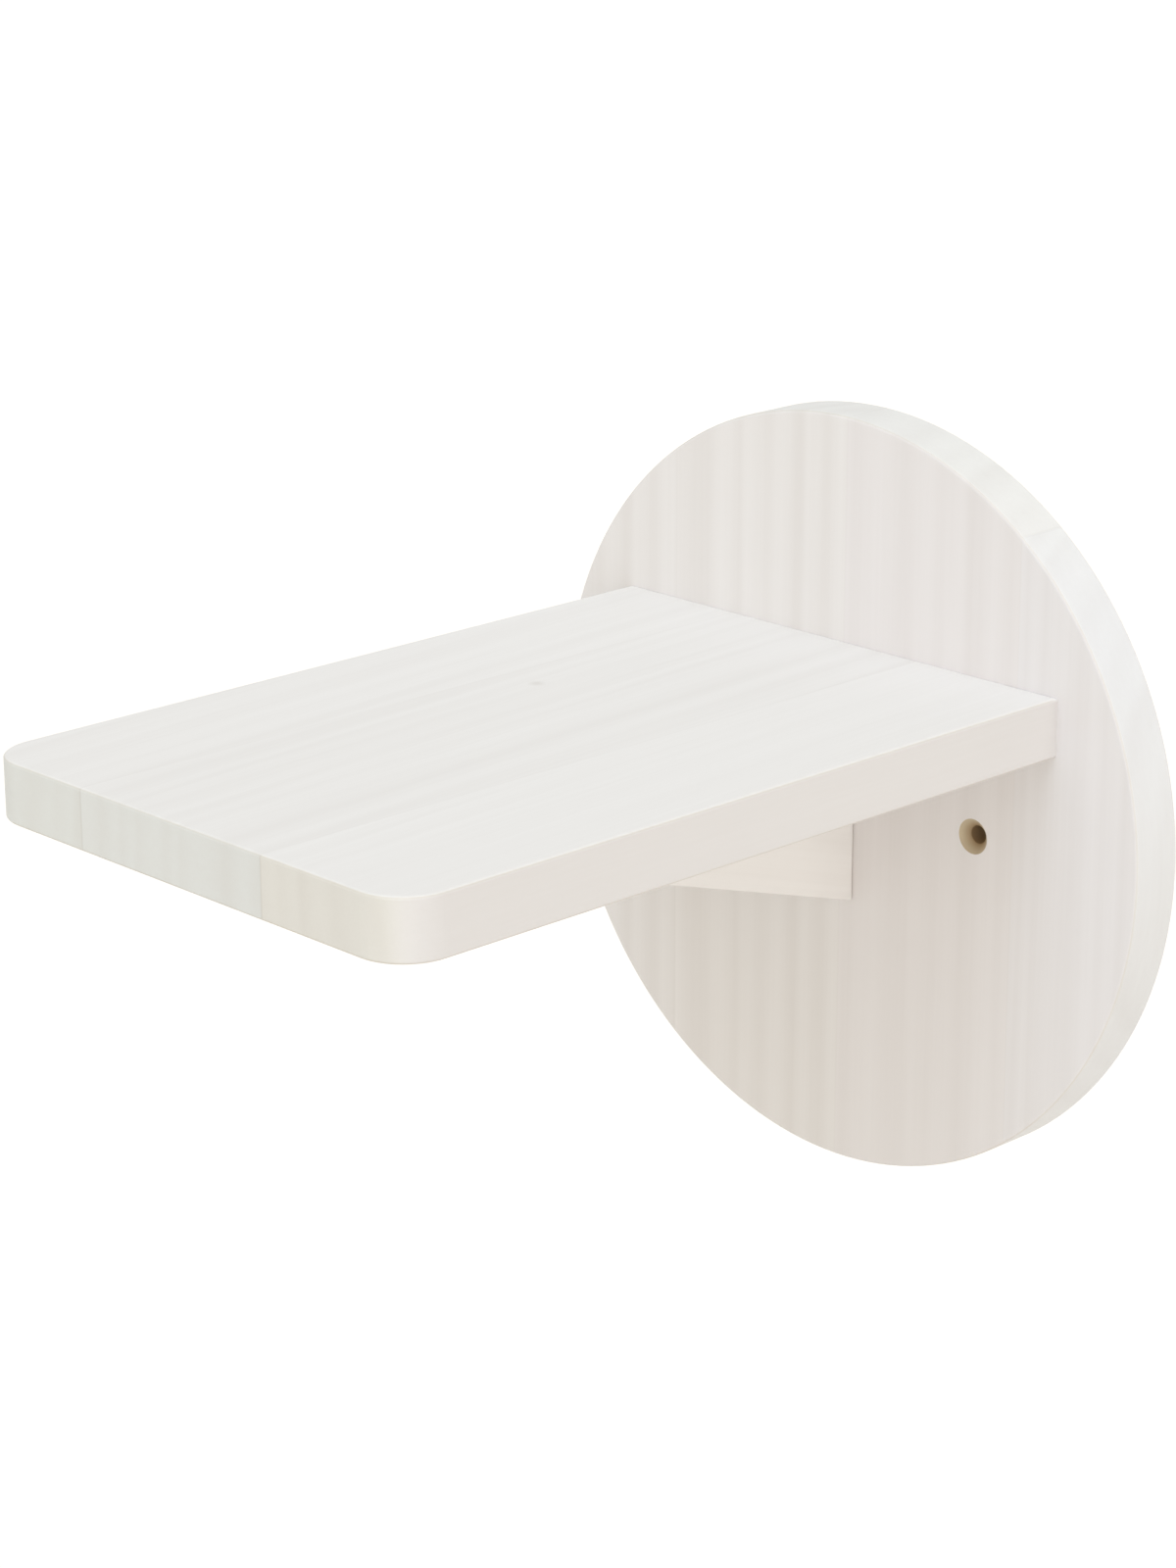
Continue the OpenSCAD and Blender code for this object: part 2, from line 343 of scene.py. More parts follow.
# How softly the bare wood ends at a hole's mouth, and how far the painted shade of the bore reaches out of
# it.
MOUTH_BORDER, BORE_SHADE_BORDER = 0.25 * MM, 2.1 * MM


class Board:
    """How a glued-up board's grain, faces, seams and holes lie in the frame.

    joint is where along y its end meets the plate, if its edges are eased there.
    """

    def __init__(self, staves, grain, face, slope=0.0, glue_on_end=GLUE_ON_END, joint=None):
        self.staves = staves
        self.grain = grain
        self.face = face
        self.slope = slope
        self.glue_on_end = glue_on_end
        self.joint = joint
        corners = [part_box(stave.node) for stave in staves]
        self.left = min(low.x for low, _ in corners)
        self.right = max(high.x for _, high in corners)
        self.upright = grain == (0, 0, 1)

    def heart(self, stave):
        """The log's heart in metres: x and y in the upright plate, x and z in the other boards."""
        across, through = (value * MM for value in stave.heart)
        return (across, through, 0) if self.upright else (across, 0, through)

    def turn(self, stave):
        """The turn that lays the log's own axis along the grain."""
        tip, swing = (math.radians(value) for value in stave.lean)
        if self.upright:
            return (tip, swing, 0)
        return (-math.pi / 2 - self.slope + tip, 0, swing)

    def seams(self, stave):
        """Where the stave is glued to its neighbours, across the board."""
        low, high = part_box(stave.node)
        return [x for x in (low.x, high.x) if self.left < x < self.right]

    def holes(self, stave):
        """A point on the axis of each wall hole in the stave."""
        low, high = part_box(stave.node)
        bores = [mount["pos_m"] for mount in frame["record"]["mounts"] if mount["kind"] == "bore"]
        return [(x, 0, z) for x, _, z in bores if self.upright and low.x < x < high.x]


def along_grain(tree, log, width, length, detail):
    """Streaks of a given width and length along the log's axis, from 0 to 1."""
    drawn = add(tree, "ShaderNodeMapping", {"Vector": log, "Scale": (1 / width, 1 / width, 1 / length)})
    return add(tree, "ShaderNodeTexNoise", {"Vector": drawn, "Scale": 1, "Detail": detail})


def growth_rings(tree, log, ring_width):
    """How much late wood shows at a place in the log: from 0 in early wood up to 1 late in a good year."""
    wander = along_grain(tree, log, WANDER_ACROSS, WANDER_ALONG, WANDER_DETAIL)
    across = add(tree, "ShaderNodeVectorMath", {0: log, 1: (1, 1, 0)}, operation="MULTIPLY")
    radius = add(tree, "ShaderNodeVectorMath", {0: across}, out="Value", operation="LENGTH")
    bent = add(tree, "ShaderNodeMath", {0: wander, 1: WANDER_DEPTH, 2: radius}, operation="MULTIPLY_ADD")
    years = add(tree, "ShaderNodeMath", {0: bent, 1: ring_width}, operation="DIVIDE")
    uneven = add(tree, "ShaderNodeTexNoise", {
        "W": years, "Scale": 1 / UNEVEN_SPAN, "Detail": UNEVEN_DETAIL}, noise_dimensions="1D")
    age = add(tree, "ShaderNodeMath", {0: uneven, 1: UNEVEN_DEPTH, 2: years}, operation="MULTIPLY_ADD")
    season = add(tree, "ShaderNodeMath", {0: age}, operation="FRACT")
    year = add(tree, "ShaderNodeMath", {0: age}, operation="FLOOR")
    weather = add(tree, "ShaderNodeTexWhiteNoise", {"W": year}, noise_dimensions="1D")
    summer = add(tree, "ShaderNodeMapRange", {
        "Value": season, "From Min": LATE_BEGINS, "From Max": LATE_FULL}, interpolation_type="SMOOTHSTEP")
    winter = add(tree, "ShaderNodeMapRange", {
        "Value": season, "From Min": 1, "From Max": RING_ENDS}, interpolation_type="SMOOTHSTEP")
    line = add(tree, "ShaderNodeMath", {0: summer, 1: winter}, operation="MULTIPLY")
    depth = add(tree, "ShaderNodeMapRange", {"Value": weather, "To Min": POOR_YEAR, "To Max": 1})
    return add(tree, "ShaderNodeMath", {0: line, 1: depth}, operation="MULTIPLY")


def facing(tree, normal, axis, begins, full):
    """From 0 to 1 as a surface turns to face along an axis, between two cosines of its angle to it."""
    along = add(tree, "ShaderNodeVectorMath", {0: normal, 1: axis}, out="Value", operation="DOT_PRODUCT")
    either = add(tree, "ShaderNodeMath", {0: along}, operation="ABSOLUTE")
    return add(tree, "ShaderNodeMapRange", {"Value": either, "From Min": begins, "From Max": full},
               interpolation_type="SMOOTHSTEP")


def eased_edges(tree, normal, board):
    """From 0 to 1 on the eased edges of a board, which lie between its faces and its sides."""
    turning = facing(tree, normal, board.face, EDGE_TURNS, EDGE_HALFWAY)
    leaving = facing(tree, normal, board.face, EDGE_LEAVES, EDGE_HALFWAY)
    return add(tree, "ShaderNodeMath", {0: turning, 1: leaving}, operation="MULTIPLY")


def beyond_groove_light(tree, place, board):
    """From 0 at the joint with the plate, where the groove is painted lighter, to 1 a little way off."""
    y = add(tree, "ShaderNodeSeparateXYZ", {0: place}, out="Y")
    return add(tree, "ShaderNodeMapRange", {
        "Value": y, "From Min": board.joint - GROOVE_LIGHT_FULL, "From Max": board.joint - GROOVE_LIGHT_ENDS})


def ends_and_edges(tree, place, normal, pine_set, board):
    """How far a surface is sawn end grain, and the colour layers of a board's eased edges.

    The edges are worn towards bare wood, which is also painted shade that dims their highlights. At a
    joint, the groove that an edge makes there is painted near white, painted light against its shade, and
    neither wear nor end grain shows there.
    """
    end = facing(tree, normal, board.grain, END_BEGINS, END_FULL)
    # Bare wood on eased edges: wear, and painted shade that dims their highlights.
    worn = eased_edges(tree, normal, board)
    if board.joint is None:
        return end, [(worn, WORN_AND_SHADE_SHARE, pine_set.bare)]
    beyond_light = beyond_groove_light(tree, place, board)
    end = add(tree, "ShaderNodeMath", {0: end, 1: beyond_light}, operation="MULTIPLY")
    worn = add(tree, "ShaderNodeMath", {0: worn, 1: beyond_light}, operation="MULTIPLY")
    # Painted light: the groove at the joint gets a near-white colour against its shade.
    inward = facing(tree, normal, board.grain, GROOVE_BEGINS, GROOVE_FULL)
    open_end = add(tree, "ShaderNodeMath", {0: inward, 1: beyond_light}, operation="MULTIPLY")
    groove = add(tree, "ShaderNodeMath", {0: inward, 1: open_end}, operation="SUBTRACT")
    return end, [(worn, WORN_AND_SHADE_SHARE, pine_set.bare), (groove, GROOVE_LIGHT_SHARE, pine_set.groove_light)]


def seam_marks(tree, place, end, pine_set, stave, board):
    """Colour layers of the glue lines: hardly there on a face, and a thin line on a sawn end."""
    x = add(tree, "ShaderNodeSeparateXYZ", {0: place}, out="X")
    share = add(tree, "ShaderNodeMapRange", {
        "Value": end, "To Min": GLUE_ON_FACE, "To Max": board.glue_on_end})
    for seam in board.seams(stave):
        mark = add(tree, "ShaderNodeMath", {0: x, 1: seam, 2: pine_set.glue_width}, operation="COMPARE")
        yield mark, share, pine_set.glue


def knot_marks(tree, place, pine_set, stave):
    """Colour layers of the stave's pin knots: faint, soft spots right through the board."""
    flat = add(tree, "ShaderNodeVectorMath", {0: place, 1: (1, 1, 0)}, operation="MULTIPLY")
    for x, y in stave.knots:
        off = add(tree, "ShaderNodeVectorMath", {0: flat, 1: (x * MM, y * MM, 0)}, out="Value",
                  operation="DISTANCE")
        knot = add(tree, "ShaderNodeMapRange", {"Value": off, "From Min": KNOT_RADIUS, "From Max": 0},
                   interpolation_type="SMOOTHSTEP")
        yield knot, KNOT_SHARE, pine_set.glue


def hole_marks(tree, place, normal, pine_set, stave, board):
    """Colour layers of the wall holes: bare pine in the countersunk mouth, and painted shade of darker
    brown further in.
    """
    flat = add(tree, "ShaderNodeVectorMath", {0: place, 1: (1, 0, 1)}, operation="MULTIPLY")
    inner = facing(tree, normal, board.face, CONE_FULL, CONE_BEGINS)
    mouth = (pine_set.hole_mouth / 2, MOUTH_BORDER, pine_set.bare)
    # The bore's darker brown is painted shade.
    bore = (pine_set.hole / 2, BORE_SHADE_BORDER, pine_set.bore_shade)
    for axis in board.holes(stave):
        off = add(tree, "ShaderNodeVectorMath", {0: flat, 1: axis}, out="Value", operation="DISTANCE")
        for rim, border, colour in (mouth, bore):
            inside = add(tree, "ShaderNodeMapRange", {
                "Value": off, "From Min": rim + border, "From Max": rim})
            yield inside, inner, colour


def pine(pine_set, stave, board):
    """Whitewashed pine, planed and stained: a matt white through which rings and fibres show faintly.

    The grain is solid, so a face along it shows stripes and a sawn end shows the ring's own arcs.
    """
    material, tree = new_material("whitewashed_pine_" + stave.node)
    place = add(tree, "ShaderNodeTexCoord", {}, out="Object")
    normal = add(tree, "ShaderNodeTexCoord", {}, out="Normal")
    log = add(tree, "ShaderNodeMapping", {
        "Vector": place, "Location": board.heart(stave), "Rotation": board.turn(stave)},
        vector_type="TEXTURE")
    ring = growth_rings(tree, log, stave.ring * MM)
    line = along_grain(tree, log, pine_set.line_width, pine_set.line_length, LINE_DETAIL)
    fibre = along_grain(tree, log, pine_set.fibre_width, pine_set.fibre_length, FIBRE_DETAIL)
    streak = along_grain(tree, log, pine_set.streak_width, pine_set.streak_length, STREAK_DETAIL)
    end, eased = ends_and_edges(tree, place, normal, pine_set, board)

    cast = linear(stave.tint)
    wash = [a * b for a, b in zip(pine_set.wash, cast)]
    late = [a * b for a, b in zip(pine_set.late, cast)]
    layers = [(end, END_SHARE, linear(stave.end))]
    # Painted shade: the edge colour darkens the faces that look along x, which the side lamp lights.
    if stave.edge:
        side_shade = facing(tree, normal, (1, 0, 0), END_BEGINS, END_FULL)
        layers.append((side_shade, SIDE_SHADE_SHARE, linear(stave.edge)))
    ring_share = add(tree, "ShaderNodeMapRange", {
        "Value": end, "To Min": RING_SHARE * stave.figure, "To Max": RING_ON_END})
    layers.append((ring, ring_share, late))
    layers.append((line, LINE_SHARE, late))
    layers.append((fibre, FIBRE_SHARE, late))
    layers.append((streak, STREAK_SHARE * stave.figure, late))
    layers.extend(eased)
    layers.extend(seam_marks(tree, place, end, pine_set, stave, board))
    layers.extend(knot_marks(tree, place, pine_set, stave))
    layers.extend(hole_marks(tree, place, normal, pine_set, stave, board))

    colour = opaque(wash)
    for mask, share, over in layers:
        fac = add(tree, "ShaderNodeMath", {0: mask, 1: share}, operation="MULTIPLY", use_clamp=True)
        colour = add(tree, "ShaderNodeMix", {0: fac, MIX_A: colour, MIX_B: opaque(over)}, out=MIX_RESULT,
                     data_type="RGBA")
    rough = add(tree, "ShaderNodeMapRange", {"Value": fibre, "To Min": GLOSSIEST, "To Max": DULLEST})
    height = add(tree, "ShaderNodeMath", {0: ring, 1: fibre}, operation="ADD")
    bump = add(tree, "ShaderNodeBump", {"Height": height, "Distance": RELIEF, "Strength": RELIEF_STRENGTH})
    surface = add(tree, "ShaderNodeBsdfPrincipled", {
        "Base Color": colour, "Roughness": rough, "Normal": bump})
    add(tree, "ShaderNodeOutputMaterial", {"Surface": surface})
    return material


def dress(board, pine_set):
    """Gives each stave of a board its own pine."""
    for stave in board.staves:
        wood = pine(pine_set, stave, board)
        for slot in frame["nodes"][stave.node].material_slots:
            slot.material = wood


class CATSHELF_OT_plate(bpy.types.Operator):
    """Finish the wall plate's staves in whitewashed pine with upright grain"""

    bl_idname = "cat_shelf.plate"
    bl_label = "Wall plate"

    def execute(self, context):
        board = Board(PLATE_STAVES, grain=(0, 0, 1), face=(0, 1, 0), glue_on_end=GLUE_ON_RIM)
        dress(board, context.scene.cat_shelf_pine)
        return {"FINISHED"}


class CATSHELF_OT_step(bpy.types.Operator):
    """Finish the step's staves in whitewashed pine with grain along its reach"""

    bl_idname = "cat_shelf.step"
    bl_label = "Step"

    def execute(self, context):
        plate_front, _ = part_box(PLATE_STAVES[0].node)
        board = Board(STEP_STAVES, grain=(0, 1, 0), face=(0, 0, 1), joint=plate_front.y)
        dress(board, context.scene.cat_shelf_pine)
        return {"FINISHED"}


class CATSHELF_OT_brace(bpy.types.Operator):
    """Finish the brace in whitewashed pine with grain along its sloping edge"""

    bl_idname = "cat_shelf.brace"
    bl_label = "Brace"

    def execute(self, context):
        pine_set = context.scene.cat_shelf_pine
        slope = pine_set.brace_slope
        grain = (0, math.cos(slope), -math.sin(slope))
        dress(Board((BRACE,), grain=grain, face=(1, 0, 0), slope=slope), pine_set)
        return {"FINISHED"}


SCREWS = ("shelf_screw_left", "shelf_screw_right", "brace_screw_upper", "brace_screw_lower")
BRACE_DOWELS = ("brace_dowel_back", "brace_dowel_front")
SHELF_DOWELS = ("shelf_dowel_left", "shelf_dowel_right")
INWARD = Vector((0, -1, 0))
UP = Vector((0, 0, 1))
SCREW_SIDES = 36
THREAD_STEPS = 18
# How far the thread's foot sinks into the core, and the share of the point's length that it stops short of
# the end.
THREAD_SINK = 0.15 * MM
THREAD_END = 0.2
# Share of the cross recess's size that is left at its bottom.
RECESS_TAPER = 0.45
# Edges blunter than this are shaded smooth.
SMOOTH_ANGLE = math.radians(35)
# Zinc plating: how large its clouds and crystals are drawn, how many finer layers the clouds have, how high
# the crystals stand and how much of that shows, and the range of its gloss.
CLOUD_SIZE, CRYSTAL_SIZE = 1.5 * MM, 0.25 * MM
CLOUD_DETAIL = 3
CRYSTAL_RELIEF = 0.01 * MM
CRYSTAL_STRENGTH = 0.5
ZINC_GLOSSIEST, ZINC_DULLEST = 0.22, 0.42
# Beech: how wide its flecks are and how much longer than wide, how many finer layers they have, between
# which values of the noise they appear, how high the open surface stands and how much of that shows, and
# the range of its gloss.
FLECK_WIDTH, FLECK_STRETCH = 0.35 * MM, 2.6 * MM
FLECK_DETAIL = 1
FLECK_BEGINS, FLECK_FULL = 0.52, 0.72
BEECH_RELIEF = 0.05 * MM
BEECH_STRENGTH = 0.6
BEECH_GLOSSIEST, BEECH_DULLEST = 0.55, 0.75


def middle(node):
    """The middle of a node's box."""
    low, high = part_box(node)
    return (Vector(low) + Vector(high)) / 2


def only(piece):
    """Selects one piece and nothing else."""
    bpy.ops.object.select_all(action="DESELECT")
    piece.select_set(True)
    bpy.context.view_layer.objects.active = piece


def pick(piece, kind, wanted):
    """In edit mode, selects just the vertices or the faces whose place passes a test."""
    bpy.ops.mesh.select_mode(type=kind)
    bpy.ops.mesh.select_all(action="DESELECT")
    mesh = bmesh.from_edit_mesh(piece.data)
    for part in mesh.faces if kind == "FACE" else mesh.verts:
        place = part.calc_center_median() if kind == "FACE" else part.co
        if wanted(piece.matrix_world @ place):
            part.select_set(True)
    mesh.select_flush_mode()
    bmesh.update_edit_mesh(piece.data)


def turned(at, along, profile, sides):
    """A solid as off a lathe: a disc at a place, extruded step by step along a direction.

    The profile lists depth and radius from the first face on, and a radius of 0 ends it in a point.
    """
    bpy.ops.object.select_all(action="DESELECT")
    bpy.ops.mesh.primitive_circle_add(
        vertices=sides, radius=profile[0][1], fill_type="NGON", location=at,
        rotation=along.to_track_quat("Z", "Y").to_euler(), enter_editmode=True)
    for (last_depth, last_radius), (depth, radius) in zip(profile, profile[1:]):
        bpy.ops.mesh.extrude_region_move(TRANSFORM_OT_translate={"value": along * (depth - last_depth)})
        if radius:
            bpy.ops.transform.resize(value=[radius / last_radius] * 3, center_override=at + along * depth)
        else:
            bpy.ops.mesh.merge(type="CENTER")
    bpy.ops.mesh.select_all(action="SELECT")
    bpy.ops.mesh.normals_make_consistent(inside=False)
    bpy.ops.object.mode_set(mode="OBJECT")
    return bpy.context.object


def combine(piece, tool, operation):
    """Joins a tool body to a piece or cuts it out of it, and takes the tool body away."""
    only(piece)
    bpy.ops.object.modifier_add(type="BOOLEAN")
    boolean = piece.modifiers[-1]
    boolean.operation = operation
    boolean.object = tool
    bpy.ops.object.modifier_apply(modifier=boolean.name)
    bpy.data.objects.remove(tool)


def settle(piece, name, node, material):
    """Gives a finished piece its finish and puts it in the place of its node."""
    only(piece)
    bpy.ops.object.transform_apply(location=True, rotation=True, scale=True)
    bpy.ops.object.shade_smooth_by_angle(angle=SMOOTH_ANGLE)
    piece.name = name
    piece.data.materials.clear()
    piece.data.materials.append(material)
    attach(piece, BODY)
    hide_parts(node)


def copy_at(master, move):
    """A copy of a piece, with a mesh of its own, moved by a matrix."""
    only(master)
    bpy.ops.object.duplicate(linked=False)
    copy = bpy.context.object
    copy.matrix_world = move
    return copy


def zinc(fixings):
    """Zinc-plated steel: a cool bright metal, its shine broken by faint clouds and a fine crystal grain."""
    material, tree = new_material("zinc_plated_steel")
    place = add(tree, "ShaderNodeTexCoord", {}, out="Object")
    cloud = add(tree, "ShaderNodeTexNoise", {
        "Vector": place, "Scale": 1 / CLOUD_SIZE, "Detail": CLOUD_DETAIL})
    colour = add(tree, "ShaderNodeMix", {
        0: cloud, MIX_A: opaque(fixings.zinc), MIX_B: opaque(fixings.zinc_dull)},
        out=MIX_RESULT, data_type="RGBA")
    rough = add(tree, "ShaderNodeMapRange", {
        "Value": cloud, "To Min": ZINC_GLOSSIEST, "To Max": ZINC_DULLEST})
    # Real crystals are some hundredths of a millimetre across, so they are drawn coarser to show.
    crystal = add(tree, "ShaderNodeTexVoronoi", {"Vector": place, "Scale": 1 / CRYSTAL_SIZE})
    bump = add(tree, "ShaderNodeBump", {
        "Height": crystal, "Distance": CRYSTAL_RELIEF, "Strength": CRYSTAL_STRENGTH})
    surface = add(tree, "ShaderNodeBsdfPrincipled", {
        "Base Color": colour, "Metallic": 1.0, "Roughness": rough, "Normal": bump})
    add(tree, "ShaderNodeOutputMaterial", {"Surface": surface})
    return material


def beech(fixings, along):
    """Turned beech: an even tan with short dark flecks along the grain and a dry, open surface."""
    material, tree = new_material("beech_" + ("upright" if along == UP else "level"))
    place = add(tree, "ShaderNodeTexCoord", {}, out="Object")
    fleck_size = [FLECK_WIDTH + abs(share) * FLECK_STRETCH for share in along]
    drawn = add(tree, "ShaderNodeMapping", {"Vector": place, "Scale": [1 / size for size in fleck_size]})
    speckle = add(tree, "ShaderNodeTexNoise", {"Vector": drawn, "Scale": 1, "Detail": FLECK_DETAIL})
    fleck = add(tree, "ShaderNodeMapRange", {
        "Value": speckle, "From Min": FLECK_BEGINS, "From Max": FLECK_FULL})
    colour = add(tree, "ShaderNodeMix", {
        0: fleck, MIX_A: opaque(fixings.beech), MIX_B: opaque(fixings.beech_fleck)},
        out=MIX_RESULT, data_type="RGBA")
    rough = add(tree, "ShaderNodeMapRange", {
        "Value": speckle, "To Min": BEECH_GLOSSIEST, "To Max": BEECH_DULLEST})
    bump = add(tree, "ShaderNodeBump", {
        "Height": speckle, "Distance": BEECH_RELIEF, "Strength": BEECH_STRENGTH})
    surface = add(tree, "ShaderNodeBsdfPrincipled", {
        "Base Color": colour, "Roughness": rough, "Normal": bump})
    add(tree, "ShaderNodeOutputMaterial", {"Surface": surface})
    return material


class CATSHELF_OT_screws(bpy.types.Operator):
    """Model a wood screw with its thread and cross recess, and put one in each screw's place"""

    bl_idname = "cat_shelf.screws"
    bl_label = "Screws"

    def execute(self, context):
        fixings = context.scene.cat_shelf_fixings
        low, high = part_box(SCREWS[0])
        centre = middle(SCREWS[0])
        head = Vector((centre.x, high.y, centre.z))
        length = high.y - low.y
        thread_l = fixings.thread_turns * fixings.thread_pitch
        begins = length - fixings.tip_l * THREAD_END - thread_l
        screw = self.blank(fixings, head, (high.x - low.x) / 2, begins, length)
        combine(screw, self.thread(fixings, head, begins, length), "UNION")
        combine(screw, self.recess(fixings, head), "DIFFERENCE")
        finish = zinc(fixings)
        settle(screw, SCREWS[0] + "_threaded", SCREWS[0], finish)
        for node in SCREWS[1:]:
            copy = copy_at(screw, Matrix.Translation(middle(node) - centre))
            settle(copy, node + "_threaded", node, finish)
        return {"FINISHED"}

    def blank(self, fixings, head, head_r, begins, length):
        """The screw without its thread: countersunk head, shank, a thinner core and a point."""
        land = fixings.head_land
        shank, core = fixings.shank_d / 2, fixings.core_d / 2
        step = shank - core
        return turned(head, INWARD, [
            (0, head_r - land), (land, head_r - land), (head_r - shank, shank), (begins - step, shank),
            (begins, core), (length - fixings.tip_l, core), (length, 0)], SCREW_SIDES)

    def thread(self, fixings, head, begins, length):
        """A three-sided rib wound round the core, which runs out at both ends."""
        foot = fixings.core_d / 2 - THREAD_SINK
        crest = fixings.thread_d / 2
        bpy.ops.object.select_all(action="DESELECT")
        bpy.ops.mesh.primitive_circle_add(
            vertices=3, radius=1, location=head + INWARD * begins, rotation=(0, 0, -math.pi / 2),
            enter_editmode=True)
        rib = bpy.context.object
        centre = rib.location
        # The triangle is one and a half radii high and the root of three wide.
        bpy.ops.transform.resize(
            value=((crest - foot) / 1.5, fixings.thread_w / math.sqrt(3), 1), center_override=centre)
        bpy.ops.transform.translate(value=(foot + (crest - foot) / 3, 0, 0))
        bpy.ops.object.mode_set(mode="OBJECT")
        bpy.ops.object.modifier_add(type="SCREW")
        winding = rib.modifiers[-1]
        winding.axis = "X"
        winding.screw_offset = fixings.thread_pitch
        winding.iterations = fixings.thread_turns
        winding.steps = winding.render_steps = THREAD_STEPS
        bpy.ops.object.modifier_apply(modifier=winding.name)
        bpy.ops.object.mode_set(mode="EDIT")
        self.run_out(fixings, rib, length - begins, foot / crest)
        bpy.ops.mesh.select_all(action="SELECT")
        bpy.ops.mesh.fill_holes(sides=3)
        bpy.ops.mesh.normals_make_consistent(inside=False)
        bpy.ops.object.mode_set(mode="OBJECT")
        return rib

    def run_out(self, fixings, rib, to_tip, least):
        """Draws the rib in along the point, and into the core over its first half turn."""
        rise = fixings.thread_pitch / THREAD_STEPS
        for turn in range(fixings.thread_turns * THREAD_STEPS + 1):
            depth = turn * rise
            share = min(1, (to_tip - depth) / fixings.tip_l, least + (1 - least) * 2 * turn / THREAD_STEPS)
            if share < 1:
                bpy.ops.mesh.select_all(action="DESELECT")
                mesh = bmesh.from_edit_mesh(rib.data)
                mesh.verts.ensure_lookup_table()
                for corner in range(3):
                    mesh.verts[3 * turn + corner].select_set(True)
                bmesh.update_edit_mesh(rib.data)
                on_axis = rib.location + INWARD * depth
                bpy.ops.transform.resize(value=(share, 1, share), center_override=on_axis)

    def recess(self, fixings, head):
        """The body of a tapered cross recess, centred on the head's face."""
        width = fixings.recess_w
        bpy.ops.object.select_all(action="DESELECT")
        bpy.ops.mesh.primitive_cube_add(
            size=1, location=head, scale=(width, 2 * fixings.recess_depth, width), enter_editmode=True)
        cross = bpy.context.object
        for side in (Vector((1, 0, 0)), Vector((-1, 0, 0)), Vector((0, 0, 1)), Vector((0, 0, -1))):
            block = head + side * width / 2
            pick(cross, "FACE", lambda place: (place - block).length < width / 10)
            bpy.ops.mesh.extrude_region_move(
                TRANSFORM_OT_translate={"value": side * (fixings.recess_l - width) / 2})
        pick(cross, "VERT", lambda place: place.y < head.y)
        bpy.ops.transform.resize(value=(RECESS_TAPER, 1, RECESS_TAPER), center_override=head)
        bpy.ops.mesh.select_all(action="SELECT")
        bpy.ops.mesh.normals_make_consistent(inside=False)
        bpy.ops.object.mode_set(mode="OBJECT")
        return cross


class CATSHELF_OT_dowels(bpy.types.Operator):
    """Model a fluted dowel with chamfered ends, and put one in each dowel's place"""

    bl_idname = "cat_shelf.dowels"
    bl_label = "Dowels"

    def execute(self, context):
        fixings = context.scene.cat_shelf_fixings
        first = BRACE_DOWELS[0]
        low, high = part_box(first)
        centre = middle(first)
        radius = (high.x - low.x) / 2
        length = high.z - low.z
        end = radius - fixings.chamfer
        dowel = turned(Vector((centre.x, centre.y, low.z)), UP, [
            (0, end), (fixings.chamfer, radius), (length - fixings.chamfer, radius), (length, end)],
            2 * fixings.flutes)
        self.flute(fixings, dowel, centre, radius, length)
        upright, level = beech(fixings, UP), beech(fixings, INWARD)
        settle(dowel, first + "_fluted", first, upright)
        for node in BRACE_DOWELS[1:]:
            copy = copy_at(dowel, Matrix.Translation(middle(node) - centre))
            settle(copy, node + "_fluted", node, upright)
        laid = Matrix.Rotation(math.pi / 2, 4, "X") @ Matrix.Translation(-centre)
        for node in SHELF_DOWELS:
            copy = copy_at(dowel, Matrix.Translation(middle(node)) @ laid)
            settle(copy, node + "_fluted", node, level)
        return {"FINISHED"}

    def flute(self, fixings, dowel, centre, radius, length):
        """Draws every second corner of the dowel's straight part inwards, which leaves grooves along it."""
        step = math.pi / fixings.flutes

        def in_groove(place):
            off = place - centre
            odd = round(math.atan2(off.y, off.x) / step) % 2 == 1
            return odd and abs(off.z) < length / 2 - fixings.chamfer / 2

        only(dowel)
        bpy.ops.object.mode_set(mode="EDIT")
        pick(dowel, "VERT", in_groove)
        share = 1 - fixings.flute_depth / radius
        bpy.ops.transform.resize(value=(share, share, 1), center_override=centre)
        bpy.ops.object.mode_set(mode="OBJECT")


# The direction that each lamp lies in, and the angle that it takes up, in degrees.
LAMPS = {
    "ceiling": ((0.3, -0.3, 0.9), 60),
    "window": ((0, -0.5, 0.87), 40),
    "side": ((0.98, -0.12, 0.15), 40),
    "front": ((0.15, -0.95, 0.2), 70),
}


def seen_directly(tree):
    """1 for what the camera sees, straight, mirrored or through glass, and 0 for light on the object."""
    rays = "ShaderNodeLightPath"
    seen = add(tree, rays, {}, out="Is Camera Ray")
    for kind in ("Is Glossy Ray", "Is Transmission Ray"):
        other = add(tree, rays, {}, out=kind)
        seen = add(tree, "ShaderNodeMath", {0: seen, 1: other}, operation="MAXIMUM")
    return seen


